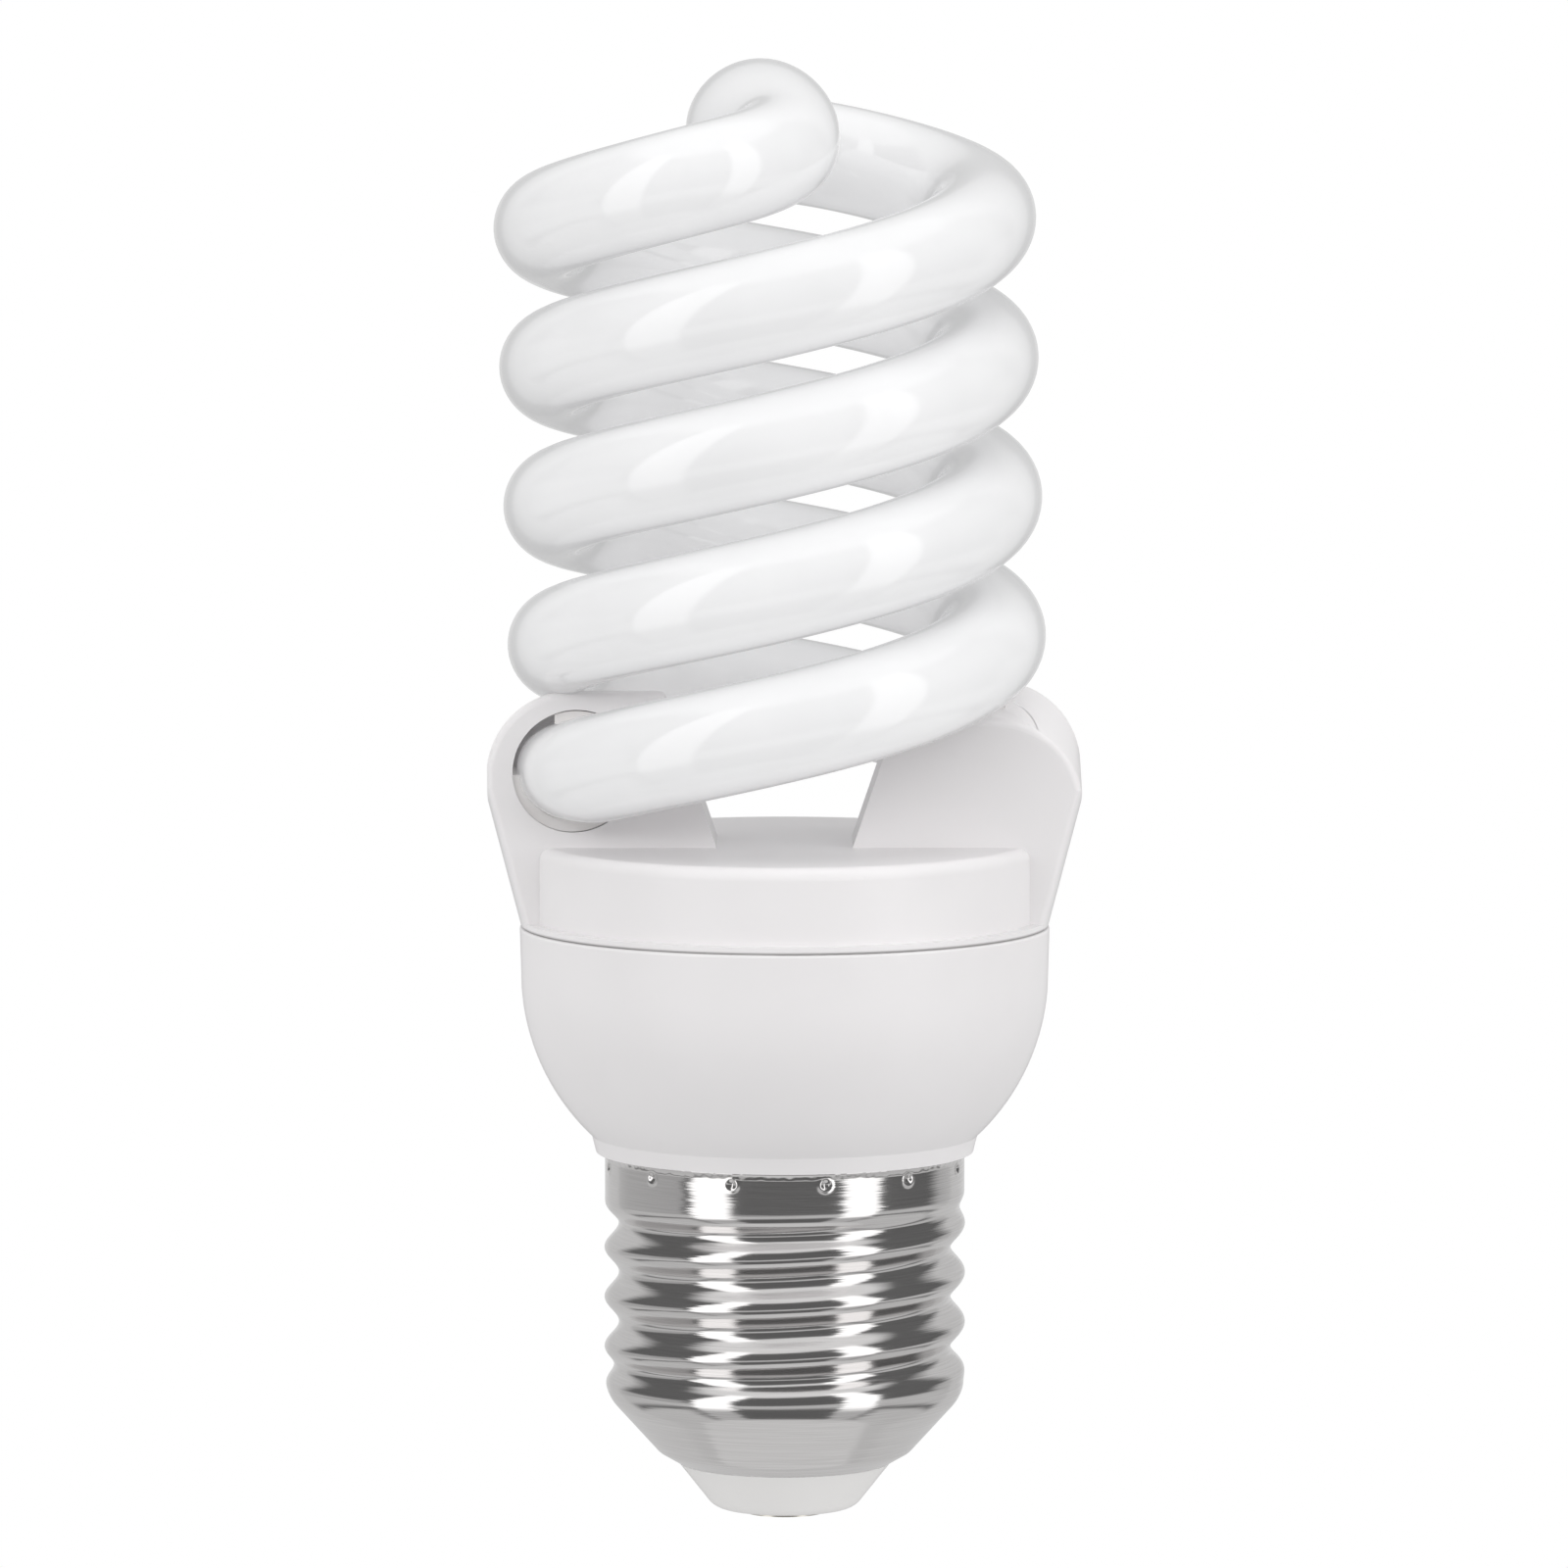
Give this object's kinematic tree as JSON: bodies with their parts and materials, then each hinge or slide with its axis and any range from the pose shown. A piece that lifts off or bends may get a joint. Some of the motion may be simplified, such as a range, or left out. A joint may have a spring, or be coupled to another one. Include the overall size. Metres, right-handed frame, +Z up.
{
  "type": "compact_fluorescent_lamp",
  "caption": "Self-ballasted spiral energy saving lamp: double-helix white glass tube in a hooded two-ear holder, rounded ballast housing and an E27 screw cap.",
  "frame": {"origin": "on the lamp's axis, on the outer face of the centre contact, at the bottom of the whole lamp", "axes": "+X to the right of the lamp as pictured, toward the right holder ear; +Y away from the viewer; +Z up along the lamp's axis, from the screw cap to the top of the spiral"},
  "size_m": [0.0428, 0.039, 0.1057],
  "materials": {
    "housing_plastic": "satin moulded thermoplastic, light warm grey white",
    "frosted_glass": "opaque white phosphor coating inside clear glass",
    "nickel_shell": "bright nickel plate on rolled sheet",
    "cap_insulation": "moulded light grey insulation",
    "contact_brass": "stamped brass, worn bright",
    "solder": "dull tin solder",
    "board_laminate": "paper laminate with a matt face",
    "capacitor_sleeve": "shrink sleeve, plain black",
    "film_block": "dipped resin, dark red",
    "ferrite": "sintered ferrite, dark grey",
    "bobbin_plastic": "natural moulded plastic",
    "copper_wire": "enamelled copper wire",
    "black_epoxy": "moulded epoxy, black",
    "glass_diode": "lacquered glass body, blue",
    "resistor_lacquer": "baked lacquer, tan",
    "socket_cement": "cast cement, off white",
    "tinned_wire": "tinned wire"
  },
  "bodies": {
    "root": {"base_resistor_1": "resistor_lacquer", "base_resistor_2": "resistor_lacquer", "cap_insulator": "cap_insulation", "centre_contact": "contact_brass", "choke_bobbin": "bobbin_plastic", "choke_core_lower": "ferrite", "choke_core_upper": "ferrite", "choke_winding": "copper_wire", "circuit_board": "board_laminate", "drive_ring": "ferrite", "electrode_wire_1": "tinned_wire", "electrode_wire_2": "tinned_wire", "electrode_wire_3": "tinned_wire", "electrode_wire_4": "tinned_wire", "electrolytic_capacitor": "capacitor_sleeve", "film_capacitor_a": "film_block", "film_capacitor_b": "film_block", "film_capacitor_c": "film_block", "fuse_resistor": "resistor_lacquer", "inductor_core": "ferrite", "inductor_winding": "copper_wire", "lead_pin_1": "tinned_wire", "lead_pin_2": "tinned_wire", "lead_pin_3": "tinned_wire", "lead_pin_4": "tinned_wire", "lower_housing": "housing_plastic", "rectifier_diode_1": "black_epoxy", "rectifier_diode_2": "black_epoxy", "rectifier_diode_3": "black_epoxy", "rectifier_diode_4": "black_epoxy", "ring_winding_1": "copper_wire", "ring_winding_2": "copper_wire", "ring_winding_3": "copper_wire", "screw_shell": "nickel_shell", "shell_wire": "tinned_wire", "spiral_tube": "frosted_glass", "tip_solder": "solder", "tip_wire": "tinned_wire", "transistor_a": "black_epoxy", "transistor_b": "black_epoxy", "trigger_diac": "glass_diode", "tube_cement_a": "socket_cement", "tube_cement_b": "socket_cement", "upper_cover": "housing_plastic"}
  },
  "joints": []
}
